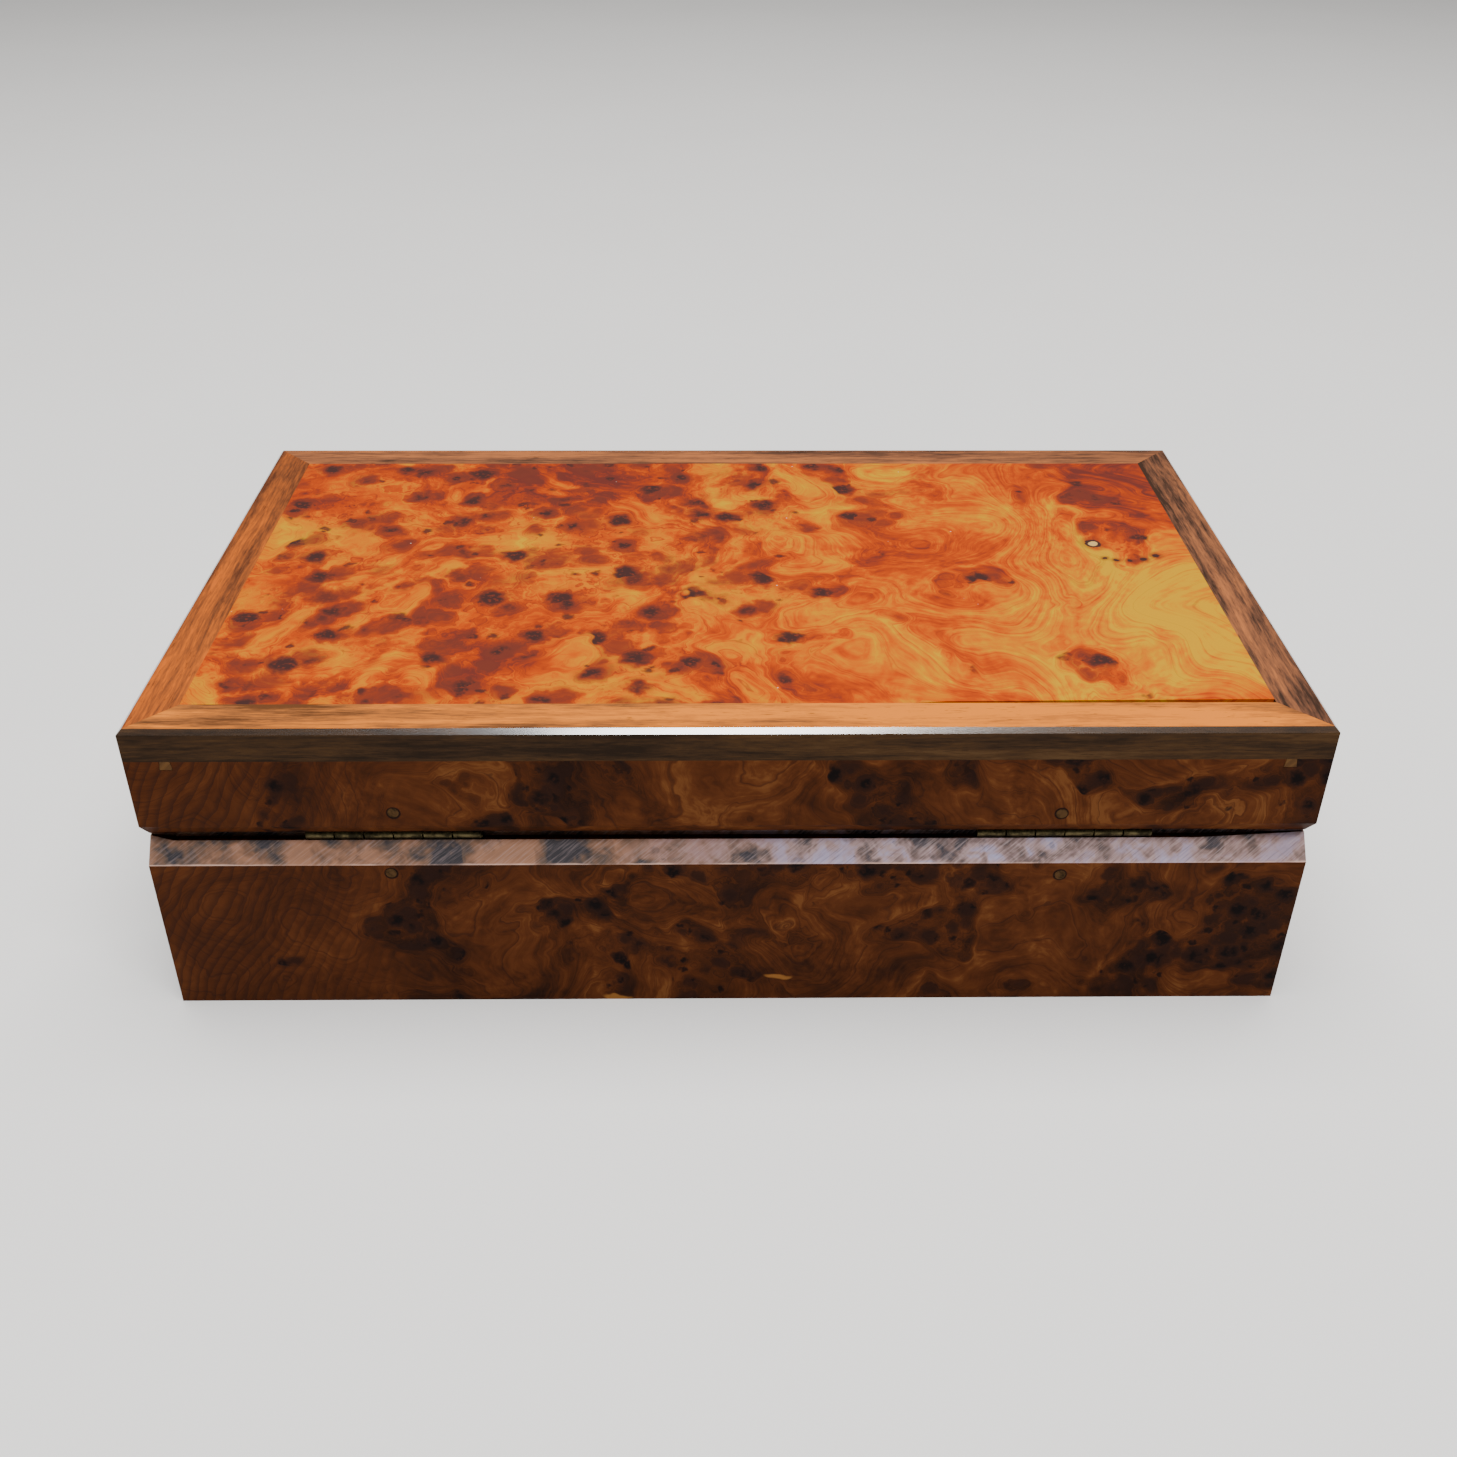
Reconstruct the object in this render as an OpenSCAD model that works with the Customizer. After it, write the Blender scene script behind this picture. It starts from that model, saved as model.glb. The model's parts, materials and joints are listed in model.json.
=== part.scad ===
// Burl wood puzzle box with a hinged lid, a sliding lid top that hides the key
// and a sliding strip that hides the keyhole.
// Frame: origin at the centre of the underside, +X to the right, +Y to the
// hinged rear, +Z up. Millimetres. "Left" and "right" are as seen from the front.

/* [Box] */
// Length from left to right
box_w = 200; // [180:1:260]
// Depth from front to rear
box_d = 116; // [100:1:160]
// Height of the base, up to the parting line
base_h = 35.5; // [34:0.5:60]
// Height of the lid walls, from the parting line to the lid top
lid_wall_h = 17.5; // [16:0.5:30]
// Thickness of every wall
wall_t = 9; // [8.5:0.5:10]
// Thickness of the bottom board
bottom_t = 4; // [3:0.5:6]
// How far the bottom board is let into the walls
bottom_rebate = 4; // [2:0.5:5]

/* [Lid top] */
// Thickness of the lid top
top_t = 6; // [5:0.5:8]
// Width of the mitred edging strips
strip_w = 8.2; // [7:0.1:12]
// Chamfer on the outer top edges
top_chamfer = 0.8; // [0.5:0.1:2]
// Shrinkage gap behind the burl panel at its left end
panel_gap = 1; // [0.6:0.1:1.2]
// Travel of the lid top towards the rear
top_travel = 7.5; // [5:0.5:8]

/* [Rear edge and hinges] */
// Depth of the bevel along the rear parting line
bevel_d = 3.8; // [3.5:0.1:4]
// Height of that bevel, on the base and again on the lid
bevel_h = 4.2; // [4:0.1:5]
// Distance of each hinge's centre from the middle of the box
hinge_x = 58; // [35:1:70]
// Length of a hinge
hinge_len = 30.5; // [24:0.5:36]
// Outer radius of a hinge knuckle
knuckle_r = 1.05; // [0.95:0.05:1.2]
// Number of knuckles on a hinge
knuckles = 6; // [4:2:8]

/* [Sliding strip] */
// Length of the sliding part, from the left end of the box
cover_len = 114; // [110:1:120]
// Thickness of the strip
cover_t = 2.5; // [2:0.1:2.8]
// Height of the strip at its outer face
cover_h = 14; // [14:0.5:15]
// Travel of the sliding part towards the left
cover_travel = 20; // [19:0.5:22]

/* [Hidden] */
$fn = 48;
eps = 0.01;

parting_z = base_h;
seam_z = base_h + lid_wall_h;
total_h = seam_z + top_t;
front_y = -box_d / 2;
rear_y = box_d / 2;
left_x = -box_w / 2;
right_x = box_w / 2;
front_inner_y = front_y + wall_t;

// Sides of the box, as quarter turns from the rear
rear_side = 0;
left_side = 1;
front_side = 2;
right_side = 3;

// Hinges: the axis is at the apex of the rear bevels
hinge_y = rear_y - bevel_d;
knuckle_pitch = hinge_len / knuckles;
knuckle_gap = 0.28;
knuckle_clear = 0.15;
hinge_pin_r = 0.5;
hinge_bore_r = 0.55;
leaf_t = 0.7;
leaf_h = 9.5;
kerf_clear = 0.05;
groove_r = knuckle_r + 0.2;
groove_tip_r = 0.3;
hinge_room = right_x - hinge_x - hinge_len / 2;
groove_taper_left = 0.7 * hinge_room;
groove_taper_right = 0.15 * hinge_room;
base_leaf = 0;
lid_leaf = 1;
nail_r = 0.95;
nail_clear = 0.05;
hinge_nail_len = 7;
// Hand-set nails: distance along X, then distance from the parting line
base_nails = [[-57.5, 6.8], [58.6, 5.9]];
lid_nails = [[-56.2, 6.4], [56.8, 7]];

// Runners under the lid top and the peg that stops it
runner_x = right_x - 6.9;
runner_top_w = 1.7;
runner_foot_w = 2.1;
runner_h = 1.6;
runner_clear = 0.08;
stop_r = 1.5;
stop_y = rear_y - wall_t / 2;
stop_rise = 2.5;
stop_root = 6;
stop_clear = 0.15;

// Sliding strip: its edges are undercut so that it stays in its groove
cover_z = 14;
cover_undercut = 1;
cover_clear = 0.12;
cover_end_gap = 0.2;
cover_peg_r = 1.2;
cover_peg_x = -45;
cover_peg_rise = 1;
cover_peg_root = 3.5;
cover_peg_clear = 0.15;

// Lock, let into the inner face of the front wall
lock_w = 26;
lock_bottom_z = parting_z - 19;
lock_depth = 4.5;
plate_t = 0.8;
flange_w = 34;
lock_front_y = front_inner_y - lock_depth;
lock_mid_y = front_inner_y - lock_depth / 2;
key_z = parting_z - 13.5;
keyhole_r = 1.9;
keyhole_slot_w = 1.8;
keyhole_slot_h = 4.1;
lock_nail_r = 0.5;
lock_nail_x = flange_w / 2 - 1.8;
lock_nail_len = 3;
lock_post_r = 0.7;
guide_r = 0.8;
guide_x = 6.5;
bolt_t = 2.4;
bolt_foot_z = parting_z - 10.5;
bolt_nose_z = parting_z - 4.7;
bolt_nose_h = 2.6;
bolt_bar_h = 2.6;
bolt_left = -11.9;
bolt_nose_right = -3.2;
bolt_bar_right = 7.5;
bolt_riser_w = 4.5;
talon_x = -2.2;
talon_w = 2;
talon_h = 1.2;
spring_t = 0.3;
spring_w = 1.8;

// Hook on the lid that the bolt catches
hook_plate_w = 24;
hook_plate_d = 5;
hook_t = 1.4;
hook_drop = 7.1;
hook_stem_x = 2.4;
hook_stem_w = 2;
hook_toe_x = -2.4;
hook_toe_h = 2;
hook_slot_x = -3;
hook_slot_w = 8;
hook_slot_d = 2.6;
hook_nail_x = 9;
hook_nail_len = 4;

// Escutcheon on the floor of the strip's groove
escutcheon_w = 9;
escutcheon_h = 12;
escutcheon_t = 0.6;
escutcheon_z = key_z - 1.5;

// Key, lying in its slot in the lid's front wall
key_slot_x = 30;
key_slot_len = 36;
key_slot_w = 4;
key_slot_y = front_y + 4.5;
key_slot_floor = seam_z - 12;
key_bow_r = 4.8;
key_bow_hole_r = 3;
key_bow_t = 1.8;
key_pipe_r = 1.4;
key_pipe_bore_r = 0.85;
key_pipe_bore_len = 6;
key_pipe_len = 22;
key_bit_w = 2.6;
key_bit_r = 3.9;
key_bit_t = 1.4;
key_bit_inset = 0.6;
key_collar_r = 1.8;
key_collar_w = 1;
key_rest = 0.05;

// ---------------------------------------------------------------- shared shapes

// Puts a shape made for the rear side, with its outer face at y = 0, on any side
module on_side(side) {
  out = side % 2 == 0 ? box_d / 2 : box_w / 2;
  rotate([0, 0, 90 * side]) translate([0, out, 0]) children();
}

// Length of the outer face on a side
function side_len(side) = side % 2 == 0 ? box_w : box_d;

// Straight bar along X with its outer face at y = 0 and both ends mitred at 45 degrees
module mitred_bar(len, width, z0, z1) {
  translate([0, 0, z0]) linear_extrude(z1 - z0)
    polygon([[-len / 2, 0], [len / 2, 0], [len / 2 - width, -width], [-len / 2 + width, -width]]);
}

// Prism along X, centred, from an outline in the YZ plane
module along_x(len, x = 0) {
  translate([x - len / 2, 0, 0]) rotate([90, 0, 90]) linear_extrude(len) children();
}

// Shape in the XZ plane, as thick as given and centred on a y
module upright(thickness, y) {
  translate([0, y + thickness / 2, 0]) rotate([90, 0, 0]) linear_extrude(thickness) children();
}

// The V that both rear bevels open, cut from one half; dir is -1 for the base and 1 for the lid
module rear_bevel(dir) {
  slope = bevel_h / bevel_d;
  over = 1;
  along_x(box_w + 2) polygon([
    [rear_y + over, parting_z + dir * (bevel_h + over * slope)],
    [rear_y + over, parting_z - dir * over],
    [hinge_y - over / slope, parting_z - dir * over]
  ]);
}

// Round groove along the apex of the bevels that clears the hinge knuckles and tapers out at both ends
module knuckle_groove() {
  len = box_w - groove_taper_left - groove_taper_right;
  translate([left_x, hinge_y, parting_z]) rotate([0, 90, 0]) {
    cylinder(r1 = groove_tip_r, r2 = groove_r, h = groove_taper_left);
    translate([0, 0, groove_taper_left]) cylinder(r = groove_r, h = len);
    translate([0, 0, groove_taper_left + len])
      cylinder(r1 = groove_r, r2 = groove_tip_r, h = groove_taper_right);
  }
}

// Saw kerfs for the hinge leaves; dir is -1 for the base and 1 for the lid
module hinge_kerfs(dir) {
  w = hinge_len + 2 * kerf_clear;
  h = leaf_h + kerf_clear;
  t = leaf_t + 2 * kerf_clear;
  for (x = [-hinge_x, hinge_x])
    translate([x - w / 2, hinge_y - t / 2, parting_z + (dir < 0 ? -h : 0)]) cube([w, t, h]);
}

// Round bar from the rear face inwards at each hinge, for a nail or its hole
module hinge_nail_bars(dir, r, out = 0) {
  for (nail = dir < 0 ? base_nails : lid_nails)
    translate([nail[0], rear_y + out, parting_z + dir * nail[1]])
      rotate([90, 0, 0]) cylinder(r = r, h = hinge_nail_len + out);
}

// ---------------------------------------------------------------- walls

// One wall of the base with the rebate for the bottom board
module base_wall(side) {
  difference() {
    on_side(side) mitred_bar(side_len(side), wall_t, 0, base_h);
    bottom_board(bottom_t);
    if (side != front_side) rear_bevel(-1);
    if (side != front_side) knuckle_groove();
  }
}

// One wall of the lid
module lid_wall(side) {
  difference() {
    on_side(side) mitred_bar(side_len(side), wall_t, parting_z, seam_z);
    if (side != front_side) rear_bevel(1);
    if (side != front_side) knuckle_groove();
    if (side != front_side) runner_grooves();
  }
}

module bottom_board(thickness) {
  w = box_w - 2 * (wall_t - bottom_rebate);
  d = box_d - 2 * (wall_t - bottom_rebate);
  translate([-w / 2, -d / 2, -eps]) cube([w, d, thickness + eps]);
}

module base_rear_wall() {
  color("saddlebrown") difference() {
    base_wall(rear_side);
    hinge_kerfs(-1);
    hinge_nail_bars(-1, nail_r + nail_clear, 1);
  }
}

module base_front_wall() {
  color("saddlebrown") difference() {
    base_wall(front_side);
    strip_groove();
    lock_mortise();
    keyhole(front_y, front_inner_y);
    escutcheon_plate(escutcheon_t + eps);
    cover_peg_bar(cover_peg_rise);
  }
}

module base_left_wall() {
  color("saddlebrown") difference() {
    base_wall(left_side);
    strip_groove();
  }
}

module base_right_wall() {
  color("saddlebrown") difference() {
    base_wall(right_side);
    strip_groove();
  }
}

module base_bottom() {
  w = box_w - 2 * (wall_t - bottom_rebate);
  d = box_d - 2 * (wall_t - bottom_rebate);
  color("burlywood") translate([-w / 2, -d / 2, 0]) cube([w, d, bottom_t]);
}

module lid_rear_wall() {
  color("saddlebrown") difference() {
    lid_wall(rear_side);
    hinge_kerfs(1);
    hinge_nail_bars(1, nail_r + nail_clear, 1);
    stop_hole();
  }
}

module lid_front_wall() {
  color("saddlebrown") difference() {
    lid_wall(front_side);
    key_slot();
    hook_recess();
  }
}

module lid_left_wall() { color("saddlebrown") lid_wall(left_side); }

module lid_right_wall() { color("saddlebrown") lid_wall(right_side); }

// ---------------------------------------------------------------- sliding lid top

// Edging strip: a mitred bar with its outer top edge chamfered
module top_strip(side) {
  color("sienna") difference() {
    on_side(side) intersection() {
      mitred_bar(side_len(side), strip_w, seam_z, total_h);
      along_x(side_len(side)) polygon([
        [0, seam_z], [0, total_h - top_chamfer], [-top_chamfer, total_h],
        [-strip_w, total_h], [-strip_w, seam_z]
      ]);
    }
    stop_slot();
  }
}

module top_rear_strip() { top_strip(rear_side); }

module top_left_strip() { top_strip(left_side); }

module top_front_strip() { top_strip(front_side); }

module top_right_strip() { top_strip(right_side); }

// Burl panel inside the strips; it has shrunk away from the rear strip towards its left end
module top_burl_panel() {
  x = box_w / 2 - strip_w;
  y = box_d / 2 - strip_w;
  gap_from = -x / 3;
  color("darkorange") difference() {
    translate([0, 0, seam_z]) linear_extrude(top_t)
      polygon([
        [-x, -y], [x, -y], [x, y],
        [gap_from, y], [1.2 * gap_from, y - panel_gap / 2], [-x, y - panel_gap]
      ]);
    stop_slot();
  }
}

// Cross-section of a runner: wider at its foot, so that it holds the lid top down
module runner_section(clear = 0) {
  polygon([
    [-runner_top_w / 2 - clear, clear], [runner_top_w / 2 + clear, clear],
    [runner_foot_w / 2 + clear, -runner_h - clear], [-runner_foot_w / 2 - clear, -runner_h - clear]
  ]);
}

// Bar along Y under the end strip on side dir, open to the rear
module runner_bar(dir, clear, over) {
  translate([dir * runner_x, rear_y + over, seam_z]) rotate([90, 0, 0])
    linear_extrude(box_d - wall_t + over + (clear > 0 ? runner_clear : 0)) runner_section(clear);
}

module runner_grooves() {
  for (dir = [-1, 1]) runner_bar(dir, runner_clear, 1);
}

module left_runner() { color("khaki") runner_bar(-1, 0, 0); }

module right_runner() { color("khaki") runner_bar(1, 0, 0); }

// Peg in the lid's rear wall that limits the lid top's travel
module slide_stop_peg() {
  color("khaki") translate([0, stop_y, seam_z - stop_root]) cylinder(r = stop_r, h = stop_root + stop_rise);
}

module stop_hole() {
  translate([0, stop_y, seam_z - stop_root]) cylinder(r = stop_r, h = stop_root + 1);
}

// Blind slot under the lid top in which the stop peg runs
module stop_slot() {
  r = stop_r + stop_clear;
  h = stop_rise + 2 * stop_clear;
  translate([0, 0, seam_z - eps]) {
    for (y = [stop_y - top_travel, stop_y]) translate([0, y, 0]) cylinder(r = r, h = h + eps);
    translate([-r, stop_y - top_travel, 0]) cube([2 * r, top_travel, h + eps]);
  }
}

// ---------------------------------------------------------------- hinges

// Knuckle tube number i of a hinge, counted from its left end
module knuckle_at(i, r, len) {
  translate([-hinge_len / 2 + (i + 0.5) * knuckle_pitch - len / 2, 0, 0])
    rotate([0, 90, 0]) cylinder(r = r, h = len);
}

// One leaf: a plate with every other knuckle; which is base_leaf or lid_leaf
module hinge_leaf(x, which) {
  dir = which == base_leaf ? -1 : 1;
  bore = which == base_leaf ? hinge_pin_r : hinge_bore_r;
  color("peru") difference() {
    translate([x, hinge_y, parting_z]) difference() {
      union() {
        translate([-hinge_len / 2, -leaf_t / 2, dir < 0 ? -leaf_h : 0]) cube([hinge_len, leaf_t, leaf_h]);
        for (i = [which:2:knuckles - 1]) knuckle_at(i, knuckle_r, knuckle_pitch - knuckle_gap);
      }
      for (i = [1 - which:2:knuckles - 1])
        knuckle_at(i, knuckle_r + knuckle_clear, knuckle_pitch + knuckle_gap);
      translate([-hinge_len, 0, 0]) rotate([0, 90, 0]) cylinder(r = bore, h = 2 * hinge_len);
    }
    hinge_nail_bars(dir, nail_r + nail_clear, 1);
  }
}

module left_hinge_base_leaf() { hinge_leaf(-hinge_x, base_leaf); }

module left_hinge_lid_leaf() { hinge_leaf(-hinge_x, lid_leaf); }

module right_hinge_base_leaf() { hinge_leaf(hinge_x, base_leaf); }

module right_hinge_lid_leaf() { hinge_leaf(hinge_x, lid_leaf); }

module hinge_pin(x) {
  len = hinge_len - knuckle_gap;
  color("goldenrod") translate([x - len / 2, hinge_y, parting_z])
    rotate([0, 90, 0]) cylinder(r = hinge_pin_r, h = len);
}

module left_hinge_pin() { hinge_pin(-hinge_x); }

module right_hinge_pin() { hinge_pin(hinge_x); }

module base_hinge_nails() { color("goldenrod") hinge_nail_bars(-1, nail_r); }

module lid_hinge_nails() { color("goldenrod") hinge_nail_bars(1, nail_r); }

// ---------------------------------------------------------------- sliding strip on the front

// Undercut cross-section of the strip, in the YZ plane, grown by clear inside the wall
module strip_section(clear = 0) {
  over = clear > 0 ? 1 : 0;
  slope = cover_undercut / cover_t;
  y = front_y + cover_t + clear;
  grow = clear + slope * clear;
  polygon([
    [front_y - over, cover_z + slope * over - clear],
    [y, cover_z - cover_undercut - grow],
    [y, cover_z + cover_h + cover_undercut + grow],
    [front_y - over, cover_z + cover_h - slope * over + clear]
  ]);
}

module strip_groove() {
  along_x(box_w + 2) strip_section(cover_clear);
}

module keyhole_cover() {
  color("saddlebrown") difference() {
    along_x(cover_len, left_x + cover_len / 2) strip_section();
    cover_slot();
  }
}

// Round bar through the floor of the strip's groove
module cover_peg_bar(rise) {
  translate([cover_peg_x, front_y + cover_t + cover_clear - rise, cover_z + cover_h / 2])
    rotate([-90, 0, 0]) cylinder(r = cover_peg_r, h = rise + cover_peg_root);
}

// Peg that limits the sliding strip's travel
module cover_stop_peg() { color("khaki") cover_peg_bar(cover_peg_rise); }

// Blind slot in the back of the sliding strip, in which its peg runs
module cover_slot() {
  r = cover_peg_r + cover_peg_clear;
  depth = cover_peg_rise + cover_peg_clear;
  upright(depth, front_y + cover_t + eps - depth / 2) {
    for (x = [cover_peg_x, cover_peg_x + cover_travel])
      translate([x, cover_z + cover_h / 2]) circle(r = r);
    translate([cover_peg_x, cover_z + cover_h / 2 - r]) square([cover_travel, 2 * r]);
  }
}

module fixed_front_strip() {
  len = box_w - cover_len - cover_end_gap;
  color("saddlebrown") along_x(len, right_x - len / 2) strip_section();
}

// ---------------------------------------------------------------- lock

module lock_mortise() {
  h = parting_z - lock_bottom_z;
  translate([-lock_w / 2, lock_front_y, lock_bottom_z]) cube([lock_w, lock_depth + 1, h + 1]);
  translate([-flange_w / 2, front_inner_y - plate_t, lock_bottom_z]) cube([flange_w, plate_t + 1, h + 1]);
  translate([-flange_w / 2, lock_front_y, parting_z - plate_t]) cube([flange_w, lock_depth + 1, plate_t + 1]);
  lock_nail_bars();
}

// Hole for the key through everything between two y positions
module keyhole(y0, y1) {
  upright(y1 - y0 + 2, (y0 + y1) / 2) {
    translate([0, key_z]) circle(r = keyhole_r);
    translate([-keyhole_slot_w / 2, key_z - keyhole_slot_h]) square([keyhole_slot_w, keyhole_slot_h]);
  }
}

// Opening in the lock's top plate for the lid's hook
module hook_opening() {
  translate([hook_slot_x, lock_mid_y - hook_slot_d / 2, parting_z - 2]) cube([hook_slot_w, hook_slot_d, 4]);
}

// Shallow tray with a top plate that is flush with the rim of the box
module lock_case() {
  h = parting_z - plate_t - lock_bottom_z;
  color("darkkhaki") difference() {
    union() {
      translate([-lock_w / 2, lock_front_y, lock_bottom_z]) cube([lock_w, lock_depth - plate_t, h]);
      translate([-flange_w / 2, lock_front_y, parting_z - plate_t]) cube([flange_w, lock_depth, plate_t]);
    }
    translate([-lock_w / 2 + plate_t, lock_front_y + plate_t, lock_bottom_z + plate_t])
      cube([lock_w - 2 * plate_t, lock_depth, h - plate_t]);
    keyhole(lock_front_y, lock_front_y + plate_t);
    hook_opening();
  }
}

module lock_cap() {
  h = parting_z - plate_t - lock_bottom_z;
  color("darkkhaki") difference() {
    translate([-flange_w / 2, front_inner_y - plate_t, lock_bottom_z]) cube([flange_w, plate_t, h]);
    lock_nail_bars();
  }
}

// Nails through the ends of the cap into the wall
module lock_nail_bars() {
  for (x = [-lock_nail_x, lock_nail_x], z = [lock_bottom_z + 2.5, parting_z - 3.5])
    translate([x, front_inner_y, z]) rotate([90, 0, 0]) cylinder(r = lock_nail_r, h = lock_nail_len);
}

module lock_nails() { color("goldenrod") lock_nail_bars(); }

// Post that the pipe of the key turns on
module lock_key_post() {
  color("silver") translate([0, front_inner_y - plate_t, key_z])
    rotate([90, 0, 0]) cylinder(r = lock_post_r, h = lock_depth - 2 * plate_t);
}

// Two pins that carry the bolt
module lock_guide_pins() {
  color("silver") for (x = [-guide_x, guide_x])
    translate([x, front_inner_y - plate_t, bolt_foot_z - guide_r - 0.05])
      rotate([90, 0, 0]) cylinder(r = guide_r, h = lock_depth - 2 * plate_t);
}

// Bolt, drawn back: a nose that slides over the hook's toe, on a bar that the key moves
module lock_bolt() {
  color("silver") upright(bolt_t, lock_mid_y) difference() {
    polygon([
      [bolt_left, bolt_foot_z], [bolt_bar_right, bolt_foot_z],
      [bolt_bar_right, bolt_foot_z + bolt_bar_h], [bolt_left + bolt_riser_w, bolt_foot_z + bolt_bar_h],
      [bolt_left + bolt_riser_w, bolt_nose_z], [bolt_nose_right, bolt_nose_z],
      [bolt_nose_right, bolt_nose_z + bolt_nose_h], [bolt_left, bolt_nose_z + bolt_nose_h]
    ]);
    translate([talon_x - talon_w / 2, bolt_foot_z - 1]) square([talon_w, talon_h + 1]);
  }
}

// Leaf spring between the top plate and the bolt
module lock_spring() {
  top = parting_z - plate_t;
  nose_top = bolt_nose_z + bolt_nose_h;
  root = -lock_w / 2 + plate_t;
  color("lightsteelblue") upright(spring_w, lock_mid_y) polygon([
    [root, top], [root + 2, top], [root + 6.2, nose_top + 0.1 + spring_t],
    [root + 7.2, nose_top + 0.3 + spring_t], [root + 7.2, nose_top + 0.3],
    [root + 6.2, nose_top + 0.1], [root + 1.8, top - spring_t], [root, top - spring_t]
  ]);
}

// ---------------------------------------------------------------- hook on the lid

module hook_recess() {
  translate([-hook_plate_w / 2, lock_mid_y - hook_plate_d / 2, parting_z - 1])
    cube([hook_plate_w, front_inner_y - lock_mid_y + hook_plate_d / 2 + 1, plate_t + 1]);
  hook_nail_bars();
}

// Plate under the lid's front wall with a J-shaped hook
module lock_hook() {
  color("darkkhaki") difference() {
    union() {
      translate([-hook_plate_w / 2, lock_mid_y - hook_plate_d / 2, parting_z])
        cube([hook_plate_w, front_inner_y - lock_mid_y + hook_plate_d / 2, plate_t]);
      upright(hook_t, lock_mid_y) {
        translate([hook_stem_x, parting_z - hook_drop]) square([hook_stem_w, hook_drop + plate_t / 2]);
        translate([hook_toe_x, parting_z - hook_drop])
          square([hook_stem_x - hook_toe_x + hook_stem_w / 2, hook_toe_h]);
      }
    }
    hook_nail_bars();
  }
}

module hook_nail_bars() {
  for (x = [-hook_nail_x, hook_nail_x])
    translate([x, lock_mid_y, parting_z]) cylinder(r = lock_nail_r, h = hook_nail_len);
}

module lock_hook_nails() { color("goldenrod") hook_nail_bars(); }

// ---------------------------------------------------------------- escutcheon and key

// Plate with round ends on the floor of the strip's groove
module escutcheon_plate(thickness) {
  r = escutcheon_w / 2;
  y = front_y + cover_t + cover_clear;
  upright(thickness, y + thickness / 2) {
    for (z = [escutcheon_z - escutcheon_h / 2 + r, escutcheon_z + escutcheon_h / 2 - r])
      translate([0, z]) circle(r = r);
    translate([-r, escutcheon_z - escutcheon_h / 2 + r]) square([2 * r, escutcheon_h - 2 * r]);
  }
}

module keyhole_escutcheon() {
  color("gold") difference() {
    escutcheon_plate(escutcheon_t);
    keyhole(front_y, front_inner_y);
  }
}

module key_slot() {
  translate([key_slot_x, key_slot_y - key_slot_w / 2, key_slot_floor])
    cube([key_slot_len, key_slot_w, seam_z - key_slot_floor + 1]);
}

// Pipe key, lying along X with its bow to the left
module key() {
  z = key_slot_floor + key_bow_r + key_rest;
  bow_x = key_slot_x + key_bow_r + 1;
  pipe_x = bow_x + key_bow_hole_r + 0.6;
  tip_x = pipe_x + key_pipe_len;
  color("silver") translate([0, key_slot_y, z]) difference() {
    union() {
      translate([bow_x, key_bow_t / 2, 0]) rotate([90, 0, 0]) difference() {
        cylinder(r = key_bow_r, h = key_bow_t);
        translate([0, 0, -1]) cylinder(r = key_bow_hole_r, h = key_bow_t + 2);
      }
      translate([pipe_x, 0, 0]) rotate([0, 90, 0]) cylinder(r = key_pipe_r, h = key_pipe_len);
      translate([pipe_x + 3, 0, 0]) rotate([0, 90, 0]) cylinder(r = key_collar_r, h = key_collar_w);
      translate([tip_x - key_bit_w - key_bit_inset, -key_bit_t / 2, -key_bit_r])
        cube([key_bit_w, key_bit_t, key_bit_r]);
    }
    translate([tip_x - key_pipe_bore_len, 0, 0]) rotate([0, 90, 0])
      cylinder(r = key_pipe_bore_r, h = key_pipe_bore_len + 1);
  }
}

// ---------------------------------------------------------------- nodes

base_rear_wall();
base_front_wall();
base_left_wall();
base_right_wall();
base_bottom();
fixed_front_strip();
cover_stop_peg();
keyhole_escutcheon();
lock_case();
lock_cap();
lock_key_post();
lock_guide_pins();
lock_spring();
lock_nails();
left_hinge_base_leaf();
right_hinge_base_leaf();
left_hinge_pin();
right_hinge_pin();
base_hinge_nails();
lid_rear_wall();
lid_front_wall();
lid_left_wall();
lid_right_wall();
left_hinge_lid_leaf();
right_hinge_lid_leaf();
lid_hinge_nails();
lock_hook();
lock_hook_nails();
key();
slide_stop_peg();
top_rear_strip();
top_front_strip();
top_left_strip();
top_right_strip();
top_burl_panel();
left_runner();
right_runner();
keyhole_cover();
lock_bolt();
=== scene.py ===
import json
import math

import bpy
from mathutils import Matrix, Vector


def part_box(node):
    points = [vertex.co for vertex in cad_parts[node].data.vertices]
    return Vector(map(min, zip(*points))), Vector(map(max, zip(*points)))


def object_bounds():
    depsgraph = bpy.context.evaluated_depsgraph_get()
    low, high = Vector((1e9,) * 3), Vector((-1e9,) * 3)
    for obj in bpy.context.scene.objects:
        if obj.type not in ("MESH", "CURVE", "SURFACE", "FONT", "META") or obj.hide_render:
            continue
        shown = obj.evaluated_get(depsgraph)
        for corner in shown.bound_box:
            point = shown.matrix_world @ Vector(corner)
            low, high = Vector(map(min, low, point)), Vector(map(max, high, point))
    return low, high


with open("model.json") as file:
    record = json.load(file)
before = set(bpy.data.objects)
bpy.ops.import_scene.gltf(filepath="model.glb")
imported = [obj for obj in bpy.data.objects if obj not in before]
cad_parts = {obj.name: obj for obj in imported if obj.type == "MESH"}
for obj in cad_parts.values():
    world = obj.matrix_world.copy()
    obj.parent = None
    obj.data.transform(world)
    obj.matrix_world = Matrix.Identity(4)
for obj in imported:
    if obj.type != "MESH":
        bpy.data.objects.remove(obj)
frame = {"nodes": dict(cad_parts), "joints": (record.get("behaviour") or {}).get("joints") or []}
cad_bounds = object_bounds()

MM = 0.001
low, high = Vector(cad_bounds[0]), Vector(cad_bounds[1])
panel_low, panel_high = [Vector(corner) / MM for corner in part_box("top_burl_panel")]

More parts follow.
